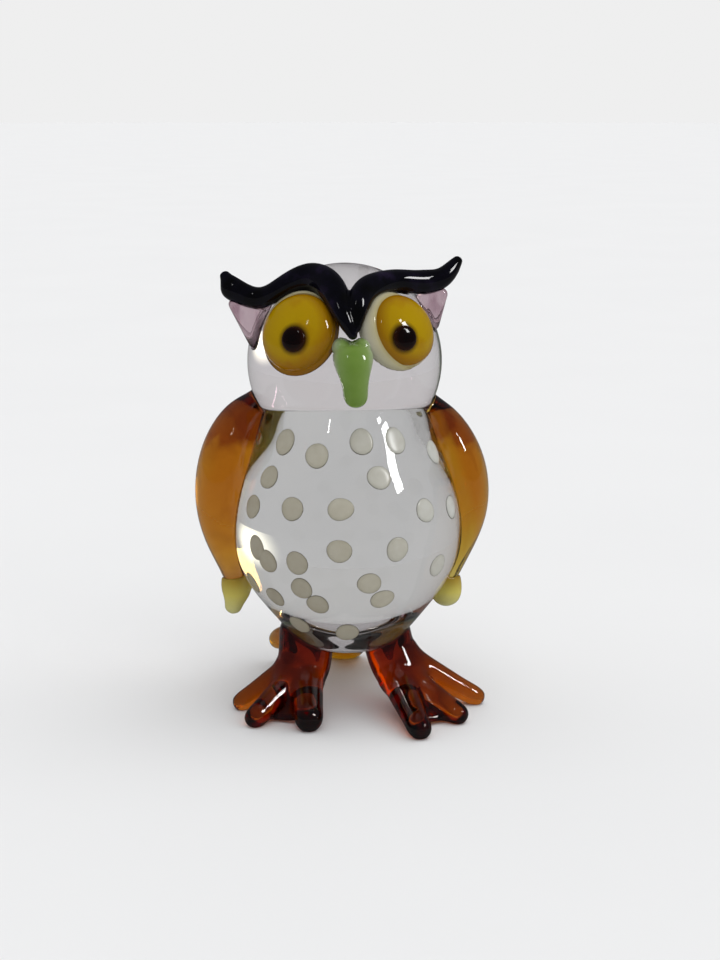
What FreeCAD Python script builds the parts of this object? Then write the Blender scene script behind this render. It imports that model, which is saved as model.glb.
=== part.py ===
import FreeCAD, Part
import math
import os

# A lampworked glass owl: a clear head on a clear egg-shaped body, with coloured gathers of glass fused on.
# Every gather is a solid of its own and touches its neighbours face to face.
#
# Figure frame: the owl as if it sat upright, origin on the body's axis at its widest, +Z up that axis,
# front towards -Y, "left" meaning -X. The figure then leans back and stands over its feet, which are
# drawn in the standing frame: +Z up, floor at Z = 0.

# Body and head
BODY_RADIUS = 14.25
NECK_HEIGHT = 15.6                  # plane where the head is fused on, above the body's widest place
NECK_RADIUS = 10.0
HEAD_RADIUS = 12.1
HEAD_CENTRE = 21.6                  # height above the body's widest place
BODY_BOTTOM = -14.9
LEAN_ANGLE = 9.0                    # the figure leans back by this much
BODY_CENTRE_HEIGHT = 21.5           # the body's widest place above the floor
# (radius, height) from the bottom to the neck
BODY_OUTLINE = [(0.0, BODY_BOTTOM), (3.5, -14.5), (6.3, -13.1), (8.5, -10.9), (10.8, -8.2), (12.8, -5.2),
                (13.9, -2.2), (BODY_RADIUS, 0.8), (13.9, 4.4), (12.8, 8.2), (11.4, 12.0),
                (NECK_RADIUS, NECK_HEIGHT)]

# Belly dots, in rows: height, then the bearings of the dots from the front, in degrees
DOT_RADIUS = 1.45
DOT_DEPTH = 0.5
DOT_ROWS = [(11.9, (-44, 5, 27)), (10.3, (-21, 58)), (7.8, (-50, 13)), (4.2, (-59, -32, -7)),
            (3.6, (38, 61)), (-0.7, (-55, -8, 20)), (-2.2, (-48, -30)), (-3.3, (49,)), (-4.7, (7,)),
            (-5.4, (-71, -30)), (-6.8, (-53, 16)), (-7.4, (-23,)), (-10.4, (-47,)), (-11.2, (-5,))]

# Eyes, placed on the head by bearing from the front and elevation, in degrees
EYE_BEARING = 34.0
EYE_ELEVATION = 17.0
EYE_BASE_BEARING = {"left": 37.0, "right": 29.5}    # each base shows on one side of its iris
EYE_BASE_ELEVATION = {"left": 20.5, "right": 18.0}
EYE_BASE_RADIUS = {"left": 4.75, "right": 4.9}
EYE_BASE_HALF_THICKNESS = 1.9
EYE_BASE_SINK = 0.9                 # how far the base's centre lies inside the head's surface
IRIS_RADIUS = {"left": 4.75, "right": 4.5}
IRIS_HALF_THICKNESS = 2.6
IRIS_SINK = 0.6
PUPIL_RADIUS = 1.5
PUPIL_HALF_THICKNESS = 0.45
PUPIL_BEARING = {"left": 30.0, "right": 27.0}    # the pupils sit in and below the irises' tops
PUPIL_ELEVATION = 10.5

# Strand stations are (x, y, z, half width, half thickness), in the figure frame unless said otherwise.
BEAK = [(0.1, -11.6, 23.0, 2.0, 0.9), (0.1, -12.3, 22.1, 2.35, 1.5), (0.1, -12.6, 20.9, 2.2, 1.7),
        (0.2, -12.6, 19.4, 1.75, 1.6), (0.3, -12.3, 18.1, 1.5, 1.5), (0.35, -11.9, 17.4, 1.45, 1.4)]
BEAK_LOBE_RADIUS = 1.1
BEAK_LOBE_SPREAD = 1.25
BEAK_LOBE_PLACE = (-11.7, 23.1)     # y and z of the two lobes at the top
# The ears are upright blades: corners (x, z) of each triangle, which the brow and head cut back
EAR_CORNERS = {"left": [(-14.8, 29.4), (-9.0, 29.2), (-11.0, 21.9)],
               "right": [(12.75, 30.4), (8.5, 30.0), (10.7, 23.4)]}
EAR_FRONT = -4.7                    # y of the front face
EAR_THICKNESS = 2.2
EAR_ROUNDING = 0.75
BROW = {"left": [(-14.6, -3.6, 31.9, 0.75, 0.7), (-13.8, -4.0, 30.5, 1.45, 1.2),
                 (-12.1, -4.4, 29.6, 1.35, 1.3), (-10.4, -4.9, 29.3, 1.3, 1.3), (-8.8, -5.6, 29.9, 1.25, 1.3),
                 (-7.1, -6.1, 30.9, 1.35, 1.3), (-5.0, -6.6, 31.6, 1.65, 1.3), (-3.1, -8.1, 31.1, 1.85, 1.5),
                 (-1.7, -10.1, 29.3, 1.6, 1.65), (-0.9, -11.8, 26.9, 1.1, 1.3),
                 (0.0, -12.5, 24.6, 0.6, 0.7)],
        "right": [(13.7, -3.6, 33.5, 0.7, 0.7), (12.6, -4.0, 32.2, 1.1, 1.1), (11.2, -4.4, 31.3, 1.35, 1.3),
                  (9.6, -4.9, 31.0, 1.5, 1.3), (7.9, -5.6, 31.0, 1.45, 1.3), (6.0, -6.4, 31.1, 1.4, 1.3),
                  (4.0, -7.8, 30.7, 1.55, 1.3), (2.3, -9.2, 29.9, 1.8, 1.4), (1.1, -10.6, 28.6, 1.7, 1.5),
                  (0.6, -11.8, 26.9, 1.1, 1.15), (0.4, -12.3, 25.4, 0.6, 0.7)]}
WING = {"left": [(-10.6, 1.0, 16.7, 1.8, 2.6), (-12.5, 1.2, 14.5, 2.8, 4.2), (-14.1, 1.4, 11.2, 3.5, 5.4),
                 (-15.0, 1.4, 7.2, 3.75, 5.6), (-15.2, 1.3, 3.2, 3.5, 5.0), (-14.9, 1.1, -0.6, 2.7, 4.0),
                 (-14.3, 0.8, -3.8, 1.8, 2.6)],
        "right": [(10.4, 1.0, 16.0, 1.7, 2.6), (12.0, 1.2, 13.7, 2.6, 4.2), (13.4, 1.4, 10.5, 3.4, 5.4),
                  (14.3, 1.4, 6.7, 3.7, 5.6), (14.5, 1.3, 2.9, 3.4, 5.0), (13.9, 1.1, -0.9, 2.6, 4.0),
                  (12.9, 0.8, -4.3, 1.8, 2.6)]}
WING_TIP = {"left": [(-14.0, 0.8, -5.4, 1.8, 2.2), (-14.0, 0.5, -7.2, 1.75, 2.0),
                     (-14.3, 0.3, -8.5, 1.2, 1.5)],
            "right": [(12.6, 0.8, -5.8, 1.8, 2.2), (12.5, 0.4, -7.6, 1.95, 2.0)]}

# Legs, toes and tail, in the standing frame
LEG = {"left": [(-5.2, -1.6, 9.6, 3.4, 2.9), (-5.4, -2.4, 7.4, 3.4, 2.8), (-5.8, -3.4, 5.2, 3.3, 2.6),
                (-6.4, -4.4, 3.6, 2.9, 2.2)],
       "right": [(4.7, -1.8, 9.6, 3.0, 2.9), (5.1, -2.8, 7.4, 3.1, 2.8), (5.9, -4.0, 5.2, 3.1, 2.6),
                 (6.8, -5.2, 3.6, 2.8, 2.2)]}
TOE_TIPS = {"left": {"outer": (-13.5, -3.6), "middle": (-12.0, -9.6), "inner": (-5.6, -11.4)},
            "right": {"outer": (15.9, -4.2), "middle": (12.7, -10.6), "inner": (7.5, -15.1)}}
TOE_TIP_RADIUS = {"left": {"outer": 1.2, "middle": 1.35, "inner": 1.75},
                  "right": {"outer": 1.2, "middle": 1.35, "inner": 1.45}}
TOE_ROOT_RADIUS = 2.1
TOE_ROOT_HEIGHT = {"left": {"outer": 6.4, "middle": 5.4, "inner": 5.2},
                   "right": {"outer": 7.6, "middle": 5.4, "inner": 5.2}}
TOE_SAG = 0.85                      # below 1, the toes slope more steeply at the leg than at the floor
# The web of glass that fills the roots of the toes, from inside the leg to near the floor
WEB = {"left": [(-6.2, -4.0, 3.4, 2.2, 1.4), (-8.3, -7.6, 1.2, 2.7, 0.7)],
       "right": [(6.6, -4.9, 3.4, 2.2, 1.4), (9.9, -9.7, 1.2, 2.7, 0.7)]}
SOLE_FLAT = 0.25                    # how much of each rounded toe end is flat on the floor
TAIL = {"left": [(-3.6, 6.5, 8.2, 2.0, 1.5), (-5.7, 9.6, 5.4, 2.0, 1.4), (-8.2, 13.8, 3.3, 1.3, 1.4)],
        "middle": [(0.2, 7.0, 8.0, 2.4, 1.6), (0.5, 10.8, 4.2, 2.7, 1.4), (0.8, 14.6, 1.2, 2.7, 1.3)],
        "right": [(3.8, 6.5, 8.2, 2.0, 1.5), (5.8, 9.6, 5.0, 2.0, 1.4), (7.6, 13.4, 2.4, 1.5, 1.4)]}

# How strands are drawn: points round each section, and the steps of a rounded end's quarter ellipse
ELLIPSE_POINTS = 16
END_STEPS = (35.0, 60.0, 78.0, 87.0)     # in degrees
LOFT_DEGREE = 3


def point_on_head(bearing, elevation, radius):
    """A point at that distance from the head's centre, and the direction from the centre to it."""
    turn = math.radians(bearing)
    rise = math.radians(elevation)
    ahead = math.cos(rise)
    outward = FreeCAD.Vector(ahead * math.sin(turn), -ahead * math.cos(turn), math.sin(rise))
    return FreeCAD.Vector(0, 0, HEAD_CENTRE) + outward * radius, outward


def turn_from_z(direction):
    """The rotation that takes +Z to direction."""
    return FreeCAD.Rotation(FreeCAD.Vector(0, 0, 1), direction)


def lens(radius, half_thickness, centre, direction):
    """An oblate ellipsoid with its short axis along direction."""
    squeeze = FreeCAD.Matrix()
    squeeze.scale(1.0, 1.0, half_thickness / radius)
    shape = Part.makeSphere(radius).transformGeometry(squeeze)
    shape.Placement = FreeCAD.Placement(centre, turn_from_z(direction))
    return shape


def ellipse_wire(centre, tangent, across, half_width, half_thickness):
    """An ellipse round centre in the plane square to tangent, its width lying along across."""
    side = across - tangent * across.dot(tangent)
    side.normalize()
    other = tangent.cross(side)
    points = []
    for step in range(ELLIPSE_POINTS):
        angle = 2 * math.pi * step / ELLIPSE_POINTS
        offset = side * (half_width * math.cos(angle)) + other * (half_thickness * math.sin(angle))
        points.append(centre + offset)
    curve = Part.BSplineCurve()
    curve.interpolate(Points=points, PeriodicFlag=True)
    return Part.Wire(curve.toShape())


def strand(stations, across):
    """A drawn gather of glass: an elliptical section that follows the stations, rounded at both ends."""
    centres = [FreeCAD.Vector(*station[:3]) for station in stations]
    last = len(centres) - 1
    tangents = []
    for place in range(last + 1):
        course = centres[min(place + 1, last)] - centres[max(place - 1, 0)]
        tangents.append(course.normalize())
    wires = rounded_end(stations[0], tangents[0], -1, across)
    wires.reverse()
    for centre, tangent, station in zip(centres, tangents, stations):
        wires.append(ellipse_wire(centre, tangent, across, *station[3:]))
    wires += rounded_end(stations[last], tangents[last], 1, across)
    return Part.makeLoft(wires, True, False, False, LOFT_DEGREE)


def rounded_end(station, tangent, sign, across):
    """The shrinking sections past an end station; sign says on which side of it they lie."""
    width, thickness = station[3:]
    reach = (width + thickness) / 2
    wires = []
    for angle in END_STEPS:
        ahead = reach * math.sin(math.radians(angle))
        shrink = math.cos(math.radians(angle))
        centre = FreeCAD.Vector(*station[:3]) + tangent * (sign * ahead)
        wires.append(ellipse_wire(centre, tangent, across, width * shrink, thickness * shrink))
    return wires


def whole(shape):
    """The largest solid of a cut shape, without the crumbs that a cut can leave."""
    return max(shape.Solids, key=lambda solid: solid.Volume)


def cut_back(shape, *neighbours):
    """shape with its neighbours taken out, so that they touch face to face."""
    return whole(shape.cut(list(neighbours)))


def egg():
    """The body's full outer shape, turned about its axis."""
    points = [FreeCAD.Vector(radius, 0, height) for radius, height in BODY_OUTLINE]
    curve = Part.BSplineCurve()
    curve.interpolate(Points=points, InitialTangent=FreeCAD.Vector(1, 0, 0),
                      FinalTangent=FreeCAD.Vector(-0.42, 0, 1), Scale=True)
    top = Part.makeLine(points[-1], FreeCAD.Vector(0, 0, NECK_HEIGHT))
    axis = Part.makeLine(FreeCAD.Vector(0, 0, NECK_HEIGHT), points[0])
    face = Part.Face(Part.Wire([curve.toShape(), top, axis]))
    return face.revolve(FreeCAD.Vector(0, 0, 0), FreeCAD.Vector(0, 0, 1), 360), curve


def dot_tools(outline):
    """Short rods square to the body's surface, one for each belly dot."""
    rods = []
    for height, bearings in DOT_ROWS:
        place = outline.parameter(nearest_on_outline(height))
        point = outline.value(place)
        along = outline.tangent(place)[0]
        outward = FreeCAD.Vector(along.z, 0, -along.x)
        rod = Part.makeCylinder(DOT_RADIUS, 2 * DOT_DEPTH, point - outward * DOT_DEPTH, outward)
        for bearing in bearings:
            turned = rod.copy()
            turned.rotate(FreeCAD.Vector(0, 0, 0), FreeCAD.Vector(0, 0, 1), bearing - 90)
            rods.append(turned)
    return rods


def nearest_on_outline(height):
    """The body's outline point at that height, read between the outline's own points."""
    for (low_radius, low), (high_radius, high) in zip(BODY_OUTLINE, BODY_OUTLINE[1:]):
        if low <= height <= high:
            share = (height - low) / (high - low)
            return FreeCAD.Vector(low_radius + share * (high_radius - low_radius), 0, height)
    raise ValueError("the height is off the body")


def make_body_and_dots():
    full, outline = egg()
    rods = dot_tools(outline)
    dots = [whole(full.common(rod)) for rod in rods]
    return whole(full.cut(rods)), dots


def make_head():
    ball = Part.makeSphere(HEAD_RADIUS, FreeCAD.Vector(0, 0, HEAD_CENTRE))
    size = 2 * HEAD_RADIUS
    below = Part.makeBox(2 * size, 2 * size, size, FreeCAD.Vector(-size, -size, NECK_HEIGHT - size))
    return whole(ball.cut(below))


def make_eye(side, head):
    """The clear base, the yellow iris and the pupil of one eye."""
    sign = -1 if side == "left" else 1
    centre, outward = point_on_head(sign * EYE_BASE_BEARING[side], EYE_BASE_ELEVATION[side],
                                    HEAD_RADIUS - EYE_BASE_SINK)
    base = cut_back(lens(EYE_BASE_RADIUS[side], EYE_BASE_HALF_THICKNESS, centre, outward), head)
    centre, outward = point_on_head(sign * EYE_BEARING, EYE_ELEVATION, HEAD_RADIUS - IRIS_SINK)
    dome = lens(IRIS_RADIUS[side], IRIS_HALF_THICKNESS, centre, outward)
    far, sight = point_on_head(sign * PUPIL_BEARING[side], PUPIL_ELEVATION, 2 * HEAD_RADIUS)
    origin = FreeCAD.Vector(0, 0, HEAD_CENTRE)
    crossings = dome.common(Part.makeLine(origin, far)).Vertexes
    surface = max((crossing.Point for crossing in crossings), key=origin.distanceToPoint)
    pupil = lens(PUPIL_RADIUS, PUPIL_HALF_THICKNESS, surface, dome_normal(surface, centre, outward, side))
    iris = cut_back(dome, head, pupil)
    return cut_back(base, dome), iris, whole(pupil)


def dome_normal(point, centre, outward, side):
    """The direction square to an iris dome's surface at point."""
    offset = point - centre
    along = outward * offset.dot(outward)
    flat = offset - along
    normal = flat * (1 / IRIS_RADIUS[side] ** 2) + along * (1 / IRIS_HALF_THICKNESS ** 2)
    return normal.normalize()


def make_beak(head, body):
    stem = strand(BEAK, FreeCAD.Vector(1, 0, 0))
    y, z = BEAK_LOBE_PLACE
    for sign in (-1, 1):
        stem = stem.fuse(Part.makeSphere(BEAK_LOBE_RADIUS, FreeCAD.Vector(sign * BEAK_LOBE_SPREAD, y, z)))
    return cut_back(stem, head, body)


def ear_blade(corners):
    """A flat triangle of glass with rounded edges."""
    points = [FreeCAD.Vector(x, EAR_FRONT, z) for x, z in corners]
    face = Part.Face(Part.makePolygon(points + points[:1]))
    slab = face.extrude(FreeCAD.Vector(0, EAR_THICKNESS, 0))
    return slab.makeFillet(EAR_ROUNDING, slab.Edges)


def toe(side, name):
    """One toe: it slopes from the leg to the floor and ends in a ball with a flat under it."""
    root_x, root_y = LEG[side][1][:2]
    tip_x, tip_y = TOE_TIPS[side][name]
    radius = TOE_TIP_RADIUS[side][name]
    root_height = TOE_ROOT_HEIGHT[side][name]
    tip_height = radius - SOLE_FLAT
    stations = []
    for share in (0.0, 0.3, 0.6, 0.85, 1.0):
        height = root_height + (tip_height - root_height) * share ** TOE_SAG
        thickness = TOE_ROOT_RADIUS + (radius - TOE_ROOT_RADIUS) * share
        stations.append((root_x + share * (tip_x - root_x), root_y + share * (tip_y - root_y), height,
                         thickness, thickness))
    return above_floor(strand(stations, level_across(stations)))


def level_across(stations):
    """The level direction square to a strand's course, seen from above."""
    return FreeCAD.Vector(stations[-1][1] - stations[0][1], stations[0][0] - stations[-1][0], 0)


def above_floor(shape):
    """What of shape is above the floor, so that it stands flat."""
    size = 60.0
    return whole(shape.cut(Part.makeBox(2 * size, 2 * size, size, FreeCAD.Vector(-size, -size, -size))))


def stand(shape):
    """From the figure frame to the standing frame: leant back and lifted over the feet."""
    moved = shape.copy()
    moved.rotate(FreeCAD.Vector(0, 0, 0), FreeCAD.Vector(1, 0, 0), -LEAN_ANGLE)
    moved.translate(FreeCAD.Vector(0, 0, BODY_CENTRE_HEIGHT))
    return moved


def make_figure():
    """Everything that leans back with the body, in the standing frame."""
    nodes = {}
    full_body = egg()[0]
    body, dots = make_body_and_dots()
    head = make_head()
    upright = FreeCAD.Vector(0, 0, 1)
    sideways = FreeCAD.Vector(1, 0, 0)
    eyes = []
    for side in ("left", "right"):
        base, iris, pupil = make_eye(side, head)
        nodes["eye_base_" + side] = base
        nodes["iris_" + side] = iris
        nodes["pupil_" + side] = pupil
        eyes += [base, iris, pupil]
    nodes["beak"] = make_beak(head, body)
    laid = []
    for side in ("left", "right"):
        brow = cut_back(strand(BROW[side], upright), head, nodes["beak"], *eyes, *laid)
        laid.append(brow)
        nodes["brow_" + side] = brow
        nodes["ear_" + side] = cut_back(ear_blade(EAR_CORNERS[side]), head, brow, *eyes)
        wing = cut_back(strand(WING[side], sideways), full_body, head)
        nodes["wing_" + side] = wing
        tip = strand(WING_TIP[side], sideways)
        nodes["wing_tip_" + side] = cut_back(tip, full_body, wing)
    nodes["head"] = head
    nodes["body"] = body
    nodes["belly_dots"] = Part.makeCompound(dots)
    return {name: stand(shape) for name, shape in nodes.items()}


def make_feet_and_tail(body):
    """The legs, toes and tail, in the standing frame."""
    nodes = {}
    for side in ("left", "right"):
        trunk = strand(LEG[side], FreeCAD.Vector(1, 0, 0))
        leg = cut_back(above_floor(trunk.fuse(strand(WEB[side], level_across(WEB[side])))), body)
        nodes["leg_" + side] = leg
        made = [leg]
        for name in ("middle", "inner", "outer"):
            nodes[f"toe_{side}_{name}"] = cut_back(toe(side, name), body, *made)
            made.append(nodes[f"toe_{side}_{name}"])
    made = []
    for name in ("middle", "left", "right"):
        lobe = above_floor(strand(TAIL[name], FreeCAD.Vector(1, 0, 0)))
        nodes["tail_" + name] = cut_back(lobe, body, *made)
        made.append(nodes["tail_" + name])
    return nodes


def main():
    os.makedirs("parts", exist_ok=True)
    nodes = make_figure()
    nodes.update(make_feet_and_tail(stand(egg()[0])))
    box = Part.makeCompound(list(nodes.values())).optimalBoundingBox()
    to_middle = FreeCAD.Vector(-box.Center.x, -box.Center.y, 0)
    for name, shape in nodes.items():
        shape.translate(to_middle)
        shape.exportStep(f"parts/{name}.step")
        print(f"{name:18s} {shape.Volume:9.2f} mm3, valid {shape.isValid()}")
    print("moved by", to_middle)
    print("size", box.XLength, box.YLength, box.ZLength, "lowest", box.ZMin)


main()
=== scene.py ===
import math

import bpy
import numpy as np
import openvdb
from mathutils import Matrix, Vector, noise


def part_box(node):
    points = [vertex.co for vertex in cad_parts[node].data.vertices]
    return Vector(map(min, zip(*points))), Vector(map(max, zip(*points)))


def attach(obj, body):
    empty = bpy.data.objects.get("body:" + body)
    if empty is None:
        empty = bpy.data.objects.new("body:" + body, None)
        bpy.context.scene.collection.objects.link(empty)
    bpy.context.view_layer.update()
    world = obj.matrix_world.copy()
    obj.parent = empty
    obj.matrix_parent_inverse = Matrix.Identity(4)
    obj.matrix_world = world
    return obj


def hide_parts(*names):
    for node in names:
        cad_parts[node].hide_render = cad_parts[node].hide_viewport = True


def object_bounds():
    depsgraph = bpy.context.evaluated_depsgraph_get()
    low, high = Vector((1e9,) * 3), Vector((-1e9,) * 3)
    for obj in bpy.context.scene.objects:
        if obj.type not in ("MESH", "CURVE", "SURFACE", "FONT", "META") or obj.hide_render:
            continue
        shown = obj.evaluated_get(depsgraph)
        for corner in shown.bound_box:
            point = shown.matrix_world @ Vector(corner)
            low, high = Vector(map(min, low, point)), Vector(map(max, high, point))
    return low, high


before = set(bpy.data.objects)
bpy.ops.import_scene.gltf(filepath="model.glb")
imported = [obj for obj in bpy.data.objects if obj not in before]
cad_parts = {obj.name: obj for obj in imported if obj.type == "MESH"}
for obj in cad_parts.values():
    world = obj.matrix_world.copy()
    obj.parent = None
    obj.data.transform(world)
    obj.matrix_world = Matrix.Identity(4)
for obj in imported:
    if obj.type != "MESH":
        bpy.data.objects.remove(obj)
CAD_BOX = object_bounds()

# A lampworked glass owl: clear head and body, with coloured gathers of glass fused on.
# Meshes are worked out in millimetres and written in metres.
MM = 0.001

# The figure leans back; its own frame has its origin at the body's widest place and +Z up its axis.
LEAN = math.radians(9.0)
HEAD_ABOVE_BODY = 21.6

# Camera, from the middle of the CAD box
VIEW_AZIMUTH = math.radians(-5.0)
VIEW_ELEVATION = math.radians(13.0)
VIEW_DISTANCE = 0.210
LENS = 63.25
AIM_OFFSET = Vector((0.0020, 0.0, 0.0004))

# Light. The glass and its reflections see the surroundings dimmer than the eye does.
PALE = (0.862, 0.862, 0.862)              # the background as it looks
FRONT_LIGHT = (0.36, 0.37, 0.39)          # what lights the owl from in front
FRONT_THROUGH_GLASS = (0.49, 0.49, 0.50)
BACK_THROUGH_GLASS = (0.575, 0.575, 0.575)
MIRRORED_ROOM = (0.10, 0.10, 0.11)
MIRRORED_FLOOR = (0.20, 0.20, 0.20)
FLOOR_THROUGH_GLASS = (0.67, 0.67, 0.67)  # against how it looks to the eye
PANEL_RADIANCE = 26.0                     # of the panels that make the highlights, in W/(m2 sr)
PANEL_DISTANCE = 0.65
CARD_RADIANCE = 1.5
CARD_DISTANCE = 0.12
CARD_COLOUR = (1.0, 0.96, 0.74)
OVERHEAD_STRENGTH = 1.57                  # of the soft light above, in W/m2
OVERHEAD_SPREAD = 80                      # in degrees

# Meshes, in mm where they are lengths
BAND = 12                  # voxels of true distance on each side of a surface
WELD = 0.2                 # how far a gather reaches into the glass that it is fused to
OUTLINE_BINS = 90          # where the body's outline is read, and the order of the series through it
OUTLINE_ORDER = 11
LATHE_SEGMENTS = 192
NECK_FILLET = 0.6          # the rounding of the head's lower edge
HAND_UNEVENNESS = 0.05
DOT_RADIUS = 1.45
DOT_SEGMENTS = 40
IRIS_BASE_GAP = {"left": 0.35, "right": 0.08}    # how far the cream base lies under the iris's surface
TRIMMED_IRIS_RADIUS = 4.4
TRIMMED_IRIS_OFFSET = (0.15, 0.0, 0.25)          # of the trimmed iris's axis from the iris's middle

# Attributes of the coloured glass
FOOT_DARKNESS = 0.08
LEG_DARKNESS = 0.45        # added up the leg
INNER_TIP_DARKNESS = {"left": 0.75, "right": 0.05}
STRIP_WIDTH = 2.4          # of the pale strip on the right wing beside the body, in mm

GLASS_IOR = 1.5
BLACK, WHITE = (0, 0, 0), (1, 1, 1)


# ---------------------------------------------------------------- the figure's frame

def figure_frame():
    """The matrix from the figure's frame to the model's, in mm, and the head's radius."""
    low, high = (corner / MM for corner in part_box("head"))
    radius = (high.x - low.x) / 2
    centre = Vector(((low.x + high.x) / 2, high.y - radius, high.z - radius))
    turn = Matrix.Rotation(-LEAN, 4, "X")
    origin = centre - turn @ Vector((0, 0, HEAD_ABOVE_BODY))
    return Matrix.Translation(origin) @ turn, radius


FIGURE, HEAD_RADIUS = figure_frame()
TO_FIGURE = np.array(FIGURE.inverted())
FROM_FIGURE = np.array(FIGURE)


def moved(matrix, points):
    """Points carried through a 4 x 4 matrix."""
    return points @ matrix[:3, :3].T + matrix[:3, 3]


# ---------------------------------------------------------------- meshes

def node_mesh(name):
    """A CAD node's points in mm and its triangles."""
    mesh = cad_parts[name].data
    mesh.calc_loop_triangles()
    points = np.empty(3 * len(mesh.vertices), np.float32)
    mesh.vertices.foreach_get("co", points)
    triangles = np.empty(3 * len(mesh.loop_triangles), np.int32)
    mesh.loop_triangles.foreach_get("vertices", triangles)
    return points.reshape(-1, 3) / MM, triangles.reshape(-1, 3).astype(np.uint32)


def make_piece(name, points, faces, nodes, material, attributes=None):
    """A smooth mesh piece from points in mm, riding on the owl's one body."""
    mesh = bpy.data.meshes.new(name)
    mesh.from_pydata((points * MM).tolist(), [], faces)
    mesh.shade_smooth()
    for key, values in (attributes or {}).items():
        layer = mesh.attributes.new(key, "FLOAT", "POINT")
        layer.data.foreach_set("value", values.astype(np.float32))
    mesh.materials.append(material)
    piece = bpy.data.objects.new(name, mesh)
    bpy.context.scene.collection.objects.link(piece)
    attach(piece, "root")
    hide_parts(*nodes)
    return piece


class Grid:
    """A box of voxels round some CAD nodes, on which signed distances in mm are kept."""

    def __init__(self, names, voxel, margin=1.6):
        boxes = [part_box(name) for name in names]
        low = np.min([np.array(box[0]) for box in boxes], axis=0) / MM - margin
        high = np.max([np.array(box[1]) for box in boxes], axis=0) / MM + margin
        self.voxel = voxel
        self.first = np.floor(low / voxel).astype(int)
        self.shape = tuple(np.ceil(high / voxel).astype(int) - self.first)
        self.transform = openvdb.createLinearTransform(voxel)

    def distance(self, name):
        """The signed distance to a node's surface, negative inside it."""
        points, triangles = node_mesh(name)
        level = openvdb.FloatGrid.createLevelSetFromPolygons(
            points, triangles=triangles, transform=self.transform, halfWidth=BAND)
        field = np.empty(self.shape, np.float32)
        level.copyToArray(field, ijk=tuple(int(i) for i in self.first))
        return field

    def centres(self):
        """Each voxel's place."""
        axes = [(np.arange(n) + first) * self.voxel for n, first in zip(self.shape, self.first)]
        return np.stack(np.meshgrid(*axes, indexing="ij"), axis=-1)

    def surface(self, field):
        """The zero surface of a field as points and quads, facing outwards."""
        grid = openvdb.FloatGrid(background=float(BAND * self.voxel))
        grid.copyFromArray(field, ijk=tuple(int(i) for i in self.first))
        grid.transform = self.transform
        points, triangles, quads = grid.convertToPolygons(0.0, 0.0)
        quads = quads.astype(np.int64)
        if signed_volume(points, quads) < 0:
            quads = quads[:, ::-1]
        return polish(points.astype(float), quads), quads.tolist()

    def sample(self, field, points):
        """The field at points, read between the voxels."""
        place = points / self.voxel - self.first
        place = np.clip(place, 0, np.array(self.shape) - 1.001)
        base = place.astype(int)
        part = place - base
        value = np.zeros(len(points))
        for corner in np.ndindex(2, 2, 2):
            weight = np.prod(np.where(corner, part, 1 - part), axis=1)
            value += weight * field[tuple((base + corner).T)]
        return value


def signed_volume(points, quads):
    """The volume inside a closed surface, negative if its faces point inwards."""
    a, b, c, d = (points[quads[:, i]].astype(float) for i in range(4))
    return (np.einsum("ij,ij->", a, np.cross(b, c)) + np.einsum("ij,ij->", a, np.cross(c, d))) / 6


def polish(points, quads, rounds=8):
    """Takes the grid's ripple out of a surface without shrinking it."""
    edges = np.concatenate([quads[:, [i, (i + 1) % 4]] for i in range(4)])
    edges = np.concatenate([edges, edges[:, ::-1]])
    count = np.bincount(edges[:, 0], minlength=len(points)).clip(1)[:, None]
    shrink, swell = 0.5, -0.53
    for step in range(2 * rounds):
        weight = swell if step % 2 else shrink
        around = np.stack([np.bincount(edges[:, 0], points[edges[:, 1], axis], len(points))
                           for axis in range(3)], axis=1) / count
        points = points + weight * (around - points)
    return points


def soften(field, rounds):
    """Blurs a field, which rounds its surface's edges."""
    for _ in range(rounds):
        for axis in range(3):
            ahead = np.roll(field, 1, axis)
            behind = np.roll(field, -1, axis)
            field = (ahead + 2 * field + behind) / 4
    return field


def melt(one, other, radius):
    """The smooth union of two fields."""
    share = np.clip(0.5 + 0.5 * (other - one) / radius, 0, 1)
    return other + (one - other) * share - radius * share * (1 - share)


def welded(field, neighbour, depth=WELD):
    """A field that also fills its neighbour's outermost depth next to it, so that the two overlap there."""
    return np.minimum(field, np.maximum(field - 2 * depth, np.maximum(neighbour, -depth - neighbour)))


# ---------------------------------------------------------------- the clear head and body

def fit_body_outline():
    """The body's outer surface as a smooth series in the cosine of the angle from the figure's axis."""
    points = moved(TO_FIGURE, node_mesh("body")[0].astype(float))
    reach = np.linalg.norm(points, axis=1)
    cosine = points[:, 2] / reach
    neck = points[:, 2].max()
    rim = cosine[(points[:, 2] > neck - 0.05)].min()
    bins = np.linspace(-1, rim - 0.02, OUTLINE_BINS)
    places, values = [], []
    for low, high in zip(bins, bins[1:]):
        inside = (cosine >= low) & (cosine < high)
        if inside.any():
            best = np.argmax(np.where(inside, reach, 0))
            places.append(cosine[best])
            values.append(reach[best])
    series = np.polynomial.chebyshev.Chebyshev.fit(places, values, OUTLINE_ORDER, domain=[-1, rim])
    return series, neck, rim


BODY_REACH, NECK, NECK_COSINE = fit_body_outline()


def lathe(profile, segments):
    """A closed surface from (radius, height) points that start and end on the axis."""
    angles = np.arange(segments) * 2 * math.pi / segments
    rings = [[r * np.cos(angles), r * np.sin(angles), np.full(segments, z)] for r, z in profile[1:-1]]
    points = np.concatenate([np.stack(ring, axis=1) for ring in rings])
    count = len(rings)
    points = np.concatenate([points, [[0, 0, profile[0][1]], [0, 0, profile[-1][1]]]])
    start, end = len(points) - 2, len(points) - 1
    faces = []
    for s in range(segments):
        t = (s + 1) % segments
        faces.append([start, t, s])
        faces.append([end, (count - 1) * segments + s, (count - 1) * segments + t])
        for ring in range(count - 1):
            a, b = ring * segments, (ring + 1) * segments
            faces.append([a + s, a + t, b + t, b + s])
    return points, faces


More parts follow.
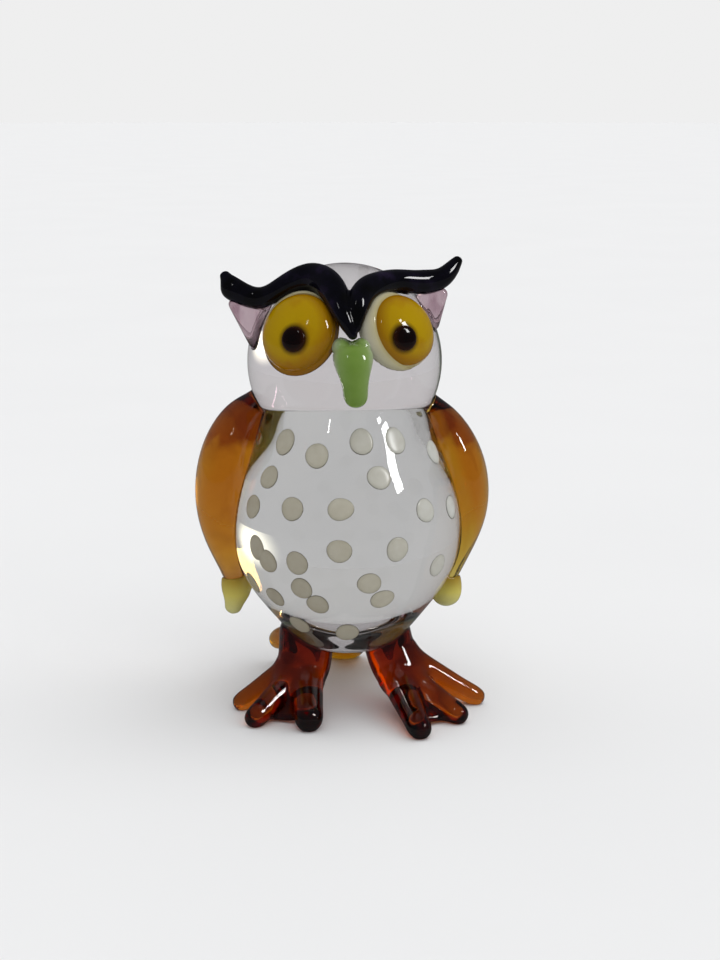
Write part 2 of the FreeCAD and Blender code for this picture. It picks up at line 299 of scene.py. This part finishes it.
def hand_made(points, amplitude, wavelength, seed):
    """Moves points in and out a little, as hand-worked glass is never quite true."""
    centre = points.mean(axis=0)
    shift = Vector((seed, 2.7 * seed, 5.1 * seed))
    for i, point in enumerate(points):
        step = noise.noise(Vector(point) / wavelength + shift)
        out = point - centre
        points[i] += out / max(np.linalg.norm(out), 1e-6) * amplitude * step
    return points


def make_body(material):
    """The clear egg, with a low step inside the head where the two are fused."""
    rim_reach = BODY_REACH(NECK_COSINE)
    profile = [(0.0, -BODY_REACH(-1.0))]
    for cosine in -np.cos(np.linspace(0.015, math.acos(-NECK_COSINE), 150)):
        reach = BODY_REACH(cosine)
        profile.append((reach * math.sqrt(1 - cosine ** 2), reach * cosine))
    radius = rim_reach * math.sqrt(1 - NECK_COSINE ** 2)
    profile.append((radius - 0.1, NECK + WELD * 0.7))
    profile.append((radius - 0.4, NECK + WELD))
    profile.append((0.0, NECK + WELD))
    points, faces = lathe(profile, LATHE_SEGMENTS)
    points = hand_made(points, HAND_UNEVENNESS, 9.0, 1.0)
    return make_piece("clear_body", moved(FROM_FIGURE, points), faces, ["body"], material)


def make_head(material):
    """The clear ball, flat where it is fused to the body, with a rounded edge there."""
    radius = HEAD_RADIUS
    drop = HEAD_ABOVE_BODY - NECK
    edge = math.acos(drop / radius)
    profile = [(0.0, NECK)]
    flat = radius * math.sin(edge) - 1.6 * NECK_FILLET
    profile.append((flat * 0.5, NECK))
    corner = np.array([radius * math.sin(edge), NECK])
    first = np.array([flat, NECK])
    last_angle = edge + 0.07
    last = np.array([radius * math.sin(last_angle), HEAD_ABOVE_BODY - radius * math.cos(last_angle)])
    for t in np.linspace(0, 1, 12):
        profile.append(tuple((1 - t) ** 2 * first + 2 * t * (1 - t) * corner + t ** 2 * last))
    for angle in np.linspace(last_angle, math.pi, 130)[1:-1]:
        profile.append((radius * math.sin(angle), HEAD_ABOVE_BODY - radius * math.cos(angle)))
    profile.append((0.0, HEAD_ABOVE_BODY + radius))
    points, faces = lathe(profile, LATHE_SEGMENTS)
    points = hand_made(points, HAND_UNEVENNESS, 8.0, 2.0)
    return make_piece("clear_head", moved(FROM_FIGURE, points), faces, ["head"], material)


# ---------------------------------------------------------------- the belly dots

def islands(name):
    """The separate solids of a node, as point arrays."""
    points, triangles = node_mesh(name)
    keys, index = np.unique(np.round(points, 4), axis=0, return_inverse=True)
    parent = np.arange(len(keys))
    corners = index.ravel()[triangles.astype(int)]
    while True:
        lowest = parent[corners].min(axis=1)
        before = parent.copy()
        for side in range(3):
            np.minimum.at(parent, corners[:, side], lowest)
        if (parent == before).all():
            break
    return [keys[parent == root] for root in np.unique(parent)]


def on_body(direction):
    """The point of the body's surface in a direction from its centre, in the figure's frame."""
    unit = direction / np.linalg.norm(direction, axis=-1, keepdims=True)
    return unit * BODY_REACH(unit[..., 2])[..., None]


def make_dots(material):
    """One low enamel button on each of the CAD node's dots, melted into the body's surface."""
    # (share of the radius, height above the body's surface) from the top to the underside
    rings = [(0.0, 0.10), (0.3, 0.10), (0.55, 0.09), (0.75, 0.075), (0.88, 0.05), (0.96, 0.015), (1.0, -0.05),
             (0.98, -0.16), (0.85, -0.28), (0.5, -0.36), (0.0, -0.38)]
    segments = DOT_SEGMENTS
    angles = np.arange(segments) * 2 * math.pi / segments
    points, faces, rims, painted_light_sides = [], [], [], []
    for index, island in enumerate(islands("belly_dots")):
        middle = moved(TO_FIGURE, island.astype(float)).mean(axis=0)
        place = on_body(middle)
        outward = place / np.linalg.norm(place)
        across = np.cross([0, 0, 1], outward)
        across /= np.linalg.norm(across)
        up = np.cross(outward, across)
        sway = noise.noise(Vector(place) * 0.9)
        width = DOT_RADIUS * (1 + 0.08 * sway)
        height = DOT_RADIUS * (1 - 0.08 * sway)
        start = len(points)
        for share, lift in rings:
            for angle in angles if share else angles[:1]:
                wobble = 1 + 0.03 * math.sin(2 * angle + 5 * index) + 0.02 * math.sin(3 * angle + index)
                offset = share * wobble * (across * width * math.cos(angle) + up * height * math.sin(angle))
                foot = on_body(place + offset)
                points.append(foot + outward * lift)
                rims.append(share)
                # Painted light: dots that face +X and upwards are made paler, as if lit from the upper right.
                painted_light_sides.append(0.5 + 0.5 * outward[0] + 0.25 * outward[2])
        last = len(points) - 1
        for s in range(segments):
            t = (s + 1) % segments
            faces.append([start, start + 1 + s, start + 1 + t])
            for ring in range(len(rings) - 3):
                a = start + 1 + ring * segments
                faces.append([a + s, a + segments + s, a + segments + t, a + t])
            a = start + 1 + (len(rings) - 3) * segments
            faces.append([a + s, last, a + t])
    points = moved(FROM_FIGURE, np.array(points))
    return make_piece("enamel_dots", points, faces, ["belly_dots"], material,
                      {"rim": np.array(rims), "painted_light_side": np.array(painted_light_sides)})


# ---------------------------------------------------------------- materials

def material(name):
    """A new material with its node tree and its shader."""
    made = bpy.data.materials.new(name)
    made.use_nodes = True
    tree = made.node_tree
    return made, tree, tree.nodes["Principled BSDF"]


def node(tree, kind, **values):
    """A new node; a value is a setting of the node or else an input's constant."""
    made = tree.nodes.new(kind)
    for key, value in values.items():
        if hasattr(made, key):
            setattr(made, key, value)
        else:
            made.inputs[key.replace("_", " ")].default_value = value
    return made


def noise_value(tree, scale, detail=3.0, stretch=(1, 1, 1)):
    """A noise value in the model's own coordinates; scale is in features per mm."""
    place = node(tree, "ShaderNodeTexCoord")
    mapping = node(tree, "ShaderNodeMapping")
    mapping.inputs["Scale"].default_value = [s * scale / MM for s in stretch]
    tree.links.new(place.outputs["Object"], mapping.inputs["Vector"])
    texture = node(tree, "ShaderNodeTexNoise", Scale=1.0, Detail=detail, Roughness=0.5)
    tree.links.new(mapping.outputs["Vector"], texture.inputs["Vector"])
    return texture.outputs["Fac"]


def ramp(tree, value, *stops):
    """A colour ramp over value; each stop is a place and a colour."""
    made = node(tree, "ShaderNodeValToRGB")
    elements = made.color_ramp.elements
    while len(elements) < len(stops):
        elements.new(0.5)
    for element, (place, colour) in zip(elements, stops):
        element.position = place
        element.color = (*colour, 1)
    tree.links.new(value, made.inputs["Fac"])
    return made.outputs["Color"]


def mix_colours(tree, kind, share, one, other):
    """A Mix node; share, one and other are sockets or constants."""
    made = node(tree, "ShaderNodeMix", data_type="RGBA", blend_type=kind)
    for socket, value in ((made.inputs[0], share), (made.inputs[6], one), (made.inputs[7], other)):
        if isinstance(value, bpy.types.NodeSocket):
            tree.links.new(value, socket)
        else:
            socket.default_value = value if isinstance(value, float) else (*value, 1)
    return made.outputs[2]


def attribute(tree, name):
    """The value that a piece's points carry under that name."""
    return node(tree, "ShaderNodeAttribute", attribute_name=name).outputs["Fac"]


def unevenly(tree, value, amount, scale, detail=3.0):
    """value with a noise of that amount added, which makes a ramp's edges wander."""
    made = node(tree, "ShaderNodeMath", operation="MULTIPLY_ADD")
    tree.links.new(noise_value(tree, scale, detail), made.inputs[0])
    made.inputs[1].default_value = 2 * amount
    shifted = node(tree, "ShaderNodeMath", operation="SUBTRACT")
    tree.links.new(value, shifted.inputs[0])
    shifted.inputs[1].default_value = amount
    tree.links.new(shifted.outputs[0], made.inputs[2])
    return made.outputs[0]


def clouded(tree, colour, scale, darkest, share=0.6):
    """colour with soft, darker clouds in it."""
    clouds = ramp(tree, noise_value(tree, scale, 4.0), (0.3, darkest), (0.7, WHITE))
    return mix_colours(tree, "MULTIPLY", share, colour, clouds)


def waves(tree, shader, scale, height):
    """Shallow waves in a fire-polished surface; height is in mm."""
    bump = node(tree, "ShaderNodeBump", Strength=1.0, Distance=height * MM)
    tree.links.new(noise_value(tree, scale, 1.0), bump.inputs["Height"])
    tree.links.new(bump.outputs["Normal"], shader.inputs["Normal"])


def rgb(*values):
    """Linear values of a colour given in 0-255."""
    return tuple((v / 255) ** 2.2 for v in values)


def glass(name, tint_maker, absorbed, wave=0.006, gloss=0.3):
    """Transparent glass; absorbed is what a metre of it takes out of red, green and blue."""
    made, tree, shader = material(name)
    shader.inputs["Transmission Weight"].default_value = 1.0
    shader.inputs["Roughness"].default_value = 0.0
    shader.inputs["IOR"].default_value = GLASS_IOR
    shader.inputs["Specular IOR Level"].default_value = gloss
    tree.links.new(tint_maker(tree), shader.inputs["Base Color"])
    waves(tree, shader, 0.35, wave)
    density = max(absorbed)
    colour = [1 - share / density for share in absorbed]
    volume = node(tree, "ShaderNodeVolumeAbsorption", Color=(*colour, 1), Density=density)
    tree.links.new(volume.outputs["Volume"], tree.nodes["Material Output"].inputs["Volume"])
    return made


def glossy(name, colour_maker, roughness=0.08, wave=0.01, gloss=0.4):
    """Opaque glass with a fire-polished surface."""
    made, tree, shader = material(name)
    tree.links.new(colour_maker(tree), shader.inputs["Base Color"])
    shader.inputs["Roughness"].default_value = roughness
    shader.inputs["IOR"].default_value = GLASS_IOR
    shader.inputs["Specular IOR Level"].default_value = gloss
    waves(tree, shader, 0.5, wave)
    return made


def body_tint(tree):
    """Colourless, with the faintest blue-grey clouds."""
    clouds = noise_value(tree, 0.25, 3.0, (1, 1, 0.4))
    return ramp(tree, clouds, (0.35, (0.985, 0.99, 1.0)), (0.65, WHITE))


def head_tint(tree):
    """Colourless, with the faintest pink clouds."""
    clouds = noise_value(tree, 0.25, 3.0, (1, 1, 0.4))
    return ramp(tree, clouds, (0.35, (0.99, 0.97, 0.98)), (0.65, WHITE))


def ear_tint(tree):
    """Pink with upright mauve threads."""
    threads = noise_value(tree, 0.7, 4.0, (1, 1, 0.25))
    mauve, pink, pale_pink = (0.60, 0.46, 0.52), (0.88, 0.79, 0.82), (0.95, 0.89, 0.91)
    return ramp(tree, threads, (0.38, mauve), (0.5, pink), (0.7, pale_pink))


def wing_tint(tree):
    """Amber, red-brown at the shoulder, brown at the lower end and golden along the outer edge.

    It has darker streaks. The right wing also has a pale strip beside the body and, at its outer edge,
    painted shade: a dark red rim.
    """
    core, red, brown, gold = (0.90, 0.66, 0.4), (0.34, 0.11, 0.08), (0.50, 0.26, 0.2), (0.90, 0.86, 0.4)
    pale, painted_shade_red, streak_brown = (0.90, 0.96, 0.8), (0.40, 0.20, 0.22), (0.46, 0.20, 0.14)
    along = unevenly(tree, attribute(tree, "height"), 0.10, 0.28)
    colour = ramp(tree, along, (0.02, brown), (0.13, core), (0.69, core), (0.75, red), (1.0, red))
    outwards = unevenly(tree, attribute(tree, "outwards"), 0.15, 0.25)
    edge = ramp(tree, outwards, (0.62, BLACK), (0.95, WHITE))
    below = ramp(tree, along, (0.64, WHITE), (0.74, BLACK))
    colour = mix_colours(tree, "MIX", mix_colours(tree, "MULTIPLY", 1.0, edge, below), colour, gold)
    strip = ramp(tree, attribute(tree, "beside_body"), (0.08, BLACK), (0.5, WHITE))
    colour = mix_colours(tree, "MIX", strip, colour, pale)
    # Painted shade: a dark red rim along the right wing's outer edge.
    rim = ramp(tree, attribute(tree, "dark_rim"), (0.3, BLACK), (0.9, WHITE))
    colour = mix_colours(tree, "MIX", rim, colour, painted_shade_red)
    streaks = ramp(tree, noise_value(tree, 0.4, 2.0, (1, 1, 0.16)), (0.54, BLACK), (0.66, (0.5, 0.5, 0.5)))
    return mix_colours(tree, "MIX", streaks, colour, streak_brown)


def foot_tint(tree):
    """Amber at the toes' ends, deep red-brown up the legs."""
    dark = unevenly(tree, attribute(tree, "dark"), 0.15, 0.5)
    amber, red_brown, dark_brown = (0.95, 0.60, 0.3), (0.33, 0.08, 0.055), (0.24, 0.07, 0.06)
    return ramp(tree, dark, (0.0, amber), (0.5, red_brown), (1.0, dark_brown))


def tail_tint(tree):
    """Honey amber with paler clouds."""
    return ramp(tree, noise_value(tree, 0.4, 3.0), (0.3, (0.82, 0.7, 0.6)), (0.65, (1.0, 0.95, 0.8)))


def iris_colour(tree):
    """Ochre that browns towards the rim and is stained round the pupil."""
    rim = unevenly(tree, attribute(tree, "rim"), 0.04, 0.3)
    base = ramp(tree, rim, (0.0, rgb(170, 138, 6)), (0.66, rgb(164, 130, 4)), (0.86, rgb(146, 104, 8)),
                (0.97, rgb(132, 92, 24)))
    patches = ramp(tree, noise_value(tree, 0.22, 3.0), (0.55, BLACK), (0.72, (0.55, 0.55, 0.55)))
    base = mix_colours(tree, "MIX", patches, base, rgb(140, 84, 2))
    pupil_gap = attribute(tree, "pupil_gap")
    stain = ramp(tree, pupil_gap, (0.0, WHITE), (0.22, (0.6, 0.6, 0.6)), (0.65, BLACK))
    return mix_colours(tree, "MIX", stain, base, rgb(44, 22, 4))


def pupil_colour(tree):
    """Near black, brown at the rim."""
    rim = attribute(tree, "rim")
    base = ramp(tree, rim, (0.0, rgb(14, 5, 8)), (0.7, rgb(22, 8, 6)), (1.0, rgb(46, 22, 4)))
    return clouded(tree, base, 1.2, (0.5, 0.4, 0.4))


def halo_colour(tree):
    """Cream, a little yellower next to the iris."""
    base = ramp(tree, attribute(tree, "iris_gap"), (0.0, rgb(176, 164, 116)), (0.3, rgb(182, 175, 142)),
                (1.0, rgb(180, 176, 158)))
    return clouded(tree, base, 0.5, (0.86, 0.84, 0.8))


def brow_colour(tree):
    """Black with a trace of violet."""
    clouds = noise_value(tree, 0.4, 3.0)
    return ramp(tree, clouds, (0.35, rgb(5, 5, 7)), (0.6, rgb(14, 13, 22)), (0.8, rgb(34, 27, 46)))


def beak_colour(tree):
    """Opaline green that pales towards the sides and lobes."""
    edge = unevenly(tree, attribute(tree, "rim"), 0.06, 0.5)
    base = ramp(tree, edge, (0.0, rgb(110, 138, 62)), (0.45, rgb(126, 150, 86)), (0.95, rgb(164, 174, 144)))
    return clouded(tree, base, 0.5, (0.78, 0.84, 0.74))


def tip_colour(tree):
    """Cream that turns amber where the tip joins the wing."""
    base = ramp(tree, unevenly(tree, attribute(tree, "root"), 0.1, 0.5), (0.0, rgb(206, 203, 146)),
                (0.5, rgb(204, 190, 96)), (1.0, rgb(150, 114, 30)))
    return clouded(tree, base, 0.5, (0.84, 0.84, 0.74))


def dot_colour(tree):
    """Putty-coloured enamel, with a darker edge; painted light makes the dots paler towards +X and upwards,
    as if lit from the upper right.
    """
    # Painted light: paler on the side that faces the light at the upper right, darker on the side away from
    # it.
    painted_light_side = ramp(tree, attribute(tree, "painted_light_side"), (0.0, rgb(162, 155, 138)), (0.5, rgb(186, 181, 165)),
                (1.0, rgb(202, 203, 198)))
    edge = ramp(tree, attribute(tree, "rim"), (0.0, WHITE), (0.7, (0.98, 0.98, 0.97)),
                (0.95, (0.88, 0.88, 0.86)))
    return clouded(tree, mix_colours(tree, "MULTIPLY", 1.0, painted_light_side, edge), 0.9, (0.86, 0.84, 0.8))


# ---------------------------------------------------------------- the coloured gathers

def body_distance(grid):
    """Distance to the egg and head at each voxel, from the fitted outline, in mm."""
    points = moved(TO_FIGURE, grid.centres().reshape(-1, 3))
    reach = np.linalg.norm(points, axis=1)
    cosine = np.clip(points[:, 2] / np.maximum(reach, 1e-6), -1, NECK_COSINE)
    egg = np.maximum(reach - BODY_REACH(cosine), points[:, 2] - NECK)
    ball = np.linalg.norm(points - [0, 0, HEAD_ABOVE_BODY], axis=1) - HEAD_RADIUS
    return np.minimum(egg, ball).reshape(grid.shape).astype(np.float32)


def make_gather(name, nodes, material, voxel=0.12, blend=0.5, rounds=2, measure=None):
    """One piece from one or more CAD nodes: their union, softened and sunk a little into the clear glass."""
    grid = Grid(nodes, voxel)
    field = grid.distance(nodes[0])
    for other in nodes[1:]:
        field = melt(field, grid.distance(other), blend)
    field = soften(welded(field, body_distance(grid)), rounds)
    points, faces = grid.surface(field)
    attributes = measure(points) if measure else None
    return make_piece(name, points, faces, nodes, material, attributes)


def box_mm(name):
    """A node's lowest and highest corners, in mm."""
    low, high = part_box(name)
    return np.array(low) / MM, np.array(high) / MM


def gap_to_body(points):
    """How far points in the figure's frame stand off the body's surface."""
    reach = np.linalg.norm(points, axis=1)
    return reach - BODY_REACH(np.clip(points[:, 2] / reach, -1, NECK_COSINE))


def wing_measures(points):
    """Where each point lies on its wing; the last two are zero on the left wing."""
    local = moved(TO_FIGURE, points)
    low, high = local[:, 2].min(), local[:, 2].max()
    gap = gap_to_body(local)
    on_right = local[:, 0].mean() > 0
    return {"height": (local[:, 2] - low) / (high - low), "outwards": gap / gap.max(),
            "beside_body": on_right * np.clip(1 - gap / STRIP_WIDTH, 0, 1),
            # painted shade: darkens the outermost quarter of the right wing
            "dark_rim": on_right * np.clip(gap / gap.max() - 0.75, 0, 0.25) * 4}


def tip_measures(points):
    """How near each point is to the wing: 0 at the tip's lower end, 1 at its top."""
    low, high = points[:, 2].min(), points[:, 2].max()
    return {"root": (points[:, 2] - low) / (high - low)}


def make_wings(amber, cream):
    for side in ("left", "right"):
        make_gather("amber_wing_" + side, ["wing_" + side], amber, measure=wing_measures)
        make_gather("cream_tip_" + side, ["wing_tip_" + side], cream, measure=tip_measures,
                    rounds=3)


def make_feet(brown):
    """Each foot is one piece: the leg and its toes were melted together on the bench."""
    for side in ("left", "right"):
        toes = [f"toe_{side}_{name}" for name in ("outer", "middle", "inner")]
        low, high = box_mm(toes[2])
        inner_tip = np.array([(low[0] + high[0]) / 2, low[1], 0])

        def measure(points, inner_tip=inner_tip, darkest=INNER_TIP_DARKNESS[side]):
            leg = np.clip((points[:, 2] - 4.0) / 5.0, 0, 1)
            tip = np.clip(1 - np.linalg.norm(points - inner_tip, axis=1) / 6.5, 0, 1)
            return {"dark": FOOT_DARKNESS + LEG_DARKNESS * leg + darkest * tip}

        make_gather("foot_" + side, ["leg_" + side] + toes, brown, blend=1.0,
                    measure=measure)


def make_tail(amber):
    """The three lobes as the one piece that they are melted into."""
    make_gather("amber_tail", ["tail_middle", "tail_left", "tail_right"], amber, blend=0.8)


def rim_share(points, axis):
    """How far each point lies from the axis through the points' middle: 0 on it, 1 at the farthest."""
    away = points - points.mean(axis=0)
    flat = away - np.outer(away @ axis, axis)
    rim = np.linalg.norm(flat, axis=1)
    return rim / rim.max()


def make_eyes(halo, yellow, dark):
    """Each eye as an iris, a pupil set into it and the cream base that they are built on."""
    head = np.array(FIGURE @ Vector((0, 0, HEAD_ABOVE_BODY)))
    for side in ("left", "right"):
        iris, pupil, base = "iris_" + side, "pupil_" + side, "eye_base_" + side
        grid = Grid([iris], 0.09)
        pupil_field = grid.distance(pupil)
        field = np.minimum(grid.distance(iris), pupil_field + 0.12)
        field = welded(field, body_distance(grid), 0.3)
        middle = sum(box_mm(iris)) / 2
        axis = (middle - head) / np.linalg.norm(middle - head)
        if side == "right":
            field = trimmed(field, grid, middle)
        points, faces = grid.surface(soften(field, 2))
        measures = {"rim": rim_share(points, axis),
                    "pupil_gap": np.clip(grid.sample(pupil_field, points), 0, 1)}
        make_piece("yellow_iris_" + side, points, faces, [iris], yellow, measures)

        grid = Grid([pupil], 0.06, 0.6)
        points, faces = grid.surface(soften(grid.distance(pupil), 2))
        measures = {"rim": rim_share(points, axis)}
        make_piece("dark_pupil_" + side, points, faces, [pupil], dark, measures)

        grid = Grid([base], 0.1)
        iris_field = grid.distance(iris)
        field = np.minimum(grid.distance(base), iris_field + IRIS_BASE_GAP[side])
        field = welded(field, body_distance(grid))
        points, faces = grid.surface(soften(field, 3))
        measures = {"iris_gap": np.clip(grid.sample(iris_field, points), 0, 1)}
        make_piece("milky_eye_base_" + side, points, faces, [base], halo, measures)


def trimmed(field, grid, middle):
    """The iris without the crescent on the beak's side, where its cream base shows instead."""
    front = (FROM_FIGURE @ [0, -1, 0, 0])[:3]
    gap = grid.centres() - middle - TRIMMED_IRIS_OFFSET
    off_axis = np.linalg.norm(gap - (gap @ front)[..., None] * front, axis=-1) - TRIMMED_IRIS_RADIUS
    return -melt(-field, -off_axis.astype(np.float32), 0.25)


def beak_measures(points):
    """How near each point is to the beak's sides and its upper lobes."""
    low, high = points.min(axis=0), points.max(axis=0)
    local = (points - (low + high) / 2) / ((high - low) / 2)
    return {"rim": np.clip(local[:, 0] ** 2 + np.clip(local[:, 2] - 0.6, 0, 1) * np.abs(local[:, 0]), 0, 1)}


def make_beak(green):
    make_gather("green_beak", ["beak"], green, voxel=0.1, rounds=3, measure=beak_measures)


def make_brows(black):
    """The left brow lies over the right one's inner end, which reaches into it."""
    for side in ("left", "right"):
        brow = "brow_" + side
        grid = Grid([brow], 0.11)
        field = welded(grid.distance(brow), body_distance(grid))
        if side == "right":
            field = welded(field, grid.distance("brow_left"), 0.4)
        points, faces = grid.surface(soften(field, 3))
        make_piece("black_brow_" + side, points, faces, [brow], black)


def make_ears(pink):
    for side in ("left", "right"):
        make_gather("pink_ear_" + side, ["ear_" + side], pink, voxel=0.1)


# ---------------------------------------------------------------- stage, lights and camera

def towards(azimuth, elevation):
    """The unit vector from the owl at a bearing off its front and a height, both in radians."""
    return Vector((math.sin(azimuth) * math.cos(elevation), -math.cos(azimuth) * math.cos(elevation),
                   math.sin(elevation)))


def facing_owl(name, data, middle, back, distance):
    """A camera or light at that distance from the middle, pointed back at it."""
    made = bpy.data.objects.new(name, data)
    made.location = middle + back * distance
    made.rotation_mode = "QUATERNION"
    made.rotation_quaternion = (-back).to_track_quat("-Z", "Y")
    bpy.context.scene.collection.objects.link(made)
    return made


def make_camera():
    data = bpy.data.cameras.new("camera")
    data.lens = LENS
    data.clip_start = 0.01
    aim = (CAD_BOX[0] + CAD_BOX[1]) / 2 + AIM_OFFSET
    back = towards(VIEW_AZIMUTH, VIEW_ELEVATION)
    bpy.context.scene.camera = facing_owl("camera", data, aim, back, VIEW_DISTANCE)


def area_light(name, azimuth, elevation, distance, size, radiance, colour=WHITE):
    """A lit panel that faces the owl; azimuth and elevation are in degrees."""
    data = bpy.data.lights.new(name, "AREA")
    data.shape = "RECTANGLE"
    data.size, data.size_y = size
    data.energy = radiance * math.pi * size[0] * size[1]
    data.color = colour
    back = towards(math.radians(azimuth), math.radians(elevation))
    lamp = facing_owl(name, data, (CAD_BOX[0] + CAD_BOX[1]) / 2, back, distance)
    lamp.visible_camera = False
    return lamp


def fade_to_edges(lamp):
    """Makes a lit panel brightest in the middle and dark at its edges."""
    lamp.data.use_nodes = True
    tree = lamp.data.node_tree
    gap = node(tree, "ShaderNodeVectorMath", operation="DISTANCE")
    tree.links.new(node(tree, "ShaderNodeNewGeometry").outputs["Parametric"], gap.inputs[0])
    gap.inputs[1].default_value = (0.5, 0.5, 0.0)
    fade = node(tree, "ShaderNodeMapRange", interpolation_type="SMOOTHSTEP")
    tree.links.new(gap.outputs["Value"], fade.inputs["Value"])
    fade.inputs["From Min"].default_value = 0.5
    fade.inputs["From Max"].default_value = 0.1
    tree.links.new(fade.outputs[0], tree.nodes["Emission"].inputs["Strength"])


def seen_softly(tree, plain, mirrored, through, to_camera=None):
    """A colour that is plain for direct light, and dimmer in mirror reflections and through glass."""
    path = node(tree, "ShaderNodeLightPath")
    mirror = node(tree, "ShaderNodeMath", operation="SUBTRACT", use_clamp=True)
    tree.links.new(path.outputs["Is Reflection Ray"], mirror.inputs[0])
    tree.links.new(path.outputs["Is Diffuse Ray"], mirror.inputs[1])
    colour = mix_colours(tree, "MIX", mirror.outputs[0], plain, mirrored)
    colour = mix_colours(tree, "MIX", path.outputs["Is Transmission Ray"], colour, through)
    if to_camera:
        colour = mix_colours(tree, "MIX", path.outputs["Is Camera Ray"], colour, to_camera)
    return colour


def make_lights():
    """Small bright lights for the highlights, a warm card low behind the owl, and one soft light above."""
    highlights = [area_light("window", 60, 34, PANEL_DISTANCE, (0.10, 0.16), PANEL_RADIANCE),
                  area_light("window_pane", 56, 45, PANEL_DISTANCE, (0.06, 0.04), PANEL_RADIANCE),
                  area_light("slit", -34, 49, PANEL_DISTANCE, (0.012, 0.09), PANEL_RADIANCE)]
    for lamp in highlights:
        lamp.visible_diffuse = False
    card = area_light("low_card", 136, -7.5, CARD_DISTANCE, (0.090, 0.046), CARD_RADIANCE, CARD_COLOUR)
    fade_to_edges(card)
    card.visible_diffuse = False
    card.visible_glossy = False
    sun = bpy.data.lights.new("overhead", "SUN")
    sun.energy = OVERHEAD_STRENGTH
    sun.angle = math.radians(OVERHEAD_SPREAD)
    overhead = bpy.data.objects.new("overhead", sun)
    overhead.rotation_euler = (math.radians(15), math.radians(20), 0)
    overhead.visible_glossy = False
    overhead.visible_transmission = False
    bpy.context.scene.collection.objects.link(overhead)


def make_room():
    """Pale all round to the eye; to the glass, dimmer in front, and dimmer still in its reflections."""
    world = bpy.data.worlds.new("studio")
    world.use_nodes = True
    tree = world.node_tree
    parts = node(tree, "ShaderNodeSeparateXYZ")
    tree.links.new(node(tree, "ShaderNodeTexCoord").outputs["Generated"], parts.inputs[0])
    behind = node(tree, "ShaderNodeMapRange", interpolation_type="SMOOTHSTEP")
    tree.links.new(parts.outputs["Y"], behind.inputs["Value"])
    behind.inputs["From Min"].default_value = -0.4
    behind.inputs["From Max"].default_value = 0.3
    around = mix_colours(tree, "MIX", behind.outputs[0], FRONT_LIGHT, PALE)
    through = mix_colours(tree, "MIX", behind.outputs[0], FRONT_THROUGH_GLASS, BACK_THROUGH_GLASS)
    shown = seen_softly(tree, around, MIRRORED_ROOM, through, PALE)
    tree.links.new(shown, tree.nodes["Background"].inputs["Color"])
    bpy.context.scene.world = world
    bpy.context.scene.view_settings.view_transform = "Standard"


def make_stage():
    """A pale floor, far wider than the view."""
    segments = 96
    radii = (0.15, 0.5, 1.5, 4.0)
    points = [(0, 0, 0)]
    faces = []
    for radius in radii:
        for s in range(segments):
            angle = 2 * math.pi * s / segments
            points.append((radius * math.cos(angle), radius * math.sin(angle), 0))
    for s in range(segments):
        t = (s + 1) % segments
        faces.append((0, 1 + s, 1 + t))
        for ring in range(len(radii) - 1):
            a, b = 1 + ring * segments, 1 + (ring + 1) * segments
            faces.append((a + s, b + s, b + t, a + t))
    mesh = bpy.data.meshes.new("floor")
    mesh.from_pydata(points, [], faces)
    made, tree, shader = material("floor_paper")
    grain = ramp(tree, noise_value(tree, 0.02, 2.0), (0.3, (0.80, 0.80, 0.80)), (0.7, (0.81, 0.81, 0.81)))
    through = mix_colours(tree, "MULTIPLY", 1.0, grain, FLOOR_THROUGH_GLASS)
    colour = seen_softly(tree, grain, MIRRORED_FLOOR, through)
    tree.links.new(colour, shader.inputs["Base Color"])
    shader.inputs["Roughness"].default_value = 1.0
    shader.inputs["Specular IOR Level"].default_value = 0.0
    mesh.materials.append(made)
    floor = bpy.data.objects.new("floor", mesh)
    bpy.context.scene.collection.objects.link(floor)


def main():
    make_camera()
    make_lights()
    make_room()
    make_stage()
    make_body(glass("clear_glass", body_tint, (6.6, 6.9, 7.4), gloss=0.45))
    make_head(glass("head_glass", head_tint, (2.0, 3.4, 2.9), gloss=0.4))
    make_dots(glossy("cream_enamel", dot_colour, 0.2, gloss=0.25))
    make_wings(glass("amber_glass", wing_tint, (45, 120, 400), gloss=0.1),
               glossy("cream_glass", tip_colour))
    make_feet(glass("brown_amber_glass", foot_tint, (190, 600, 1500), gloss=0.12))
    make_tail(glass("tail_glass", tail_tint, (200, 480, 1800), gloss=0.1))
    make_eyes(glossy("milky_glass", halo_colour), glossy("yellow_glass", iris_colour, 0.06, 0.004),
              glossy("dark_glass", pupil_colour, gloss=0.3))
    make_beak(glossy("green_glass", beak_colour))
    make_brows(glossy("black_glass", brow_colour, 0.05, gloss=0.3))
    make_ears(glass("pink_glass", ear_tint, (110, 190, 160), gloss=0.2))


main()
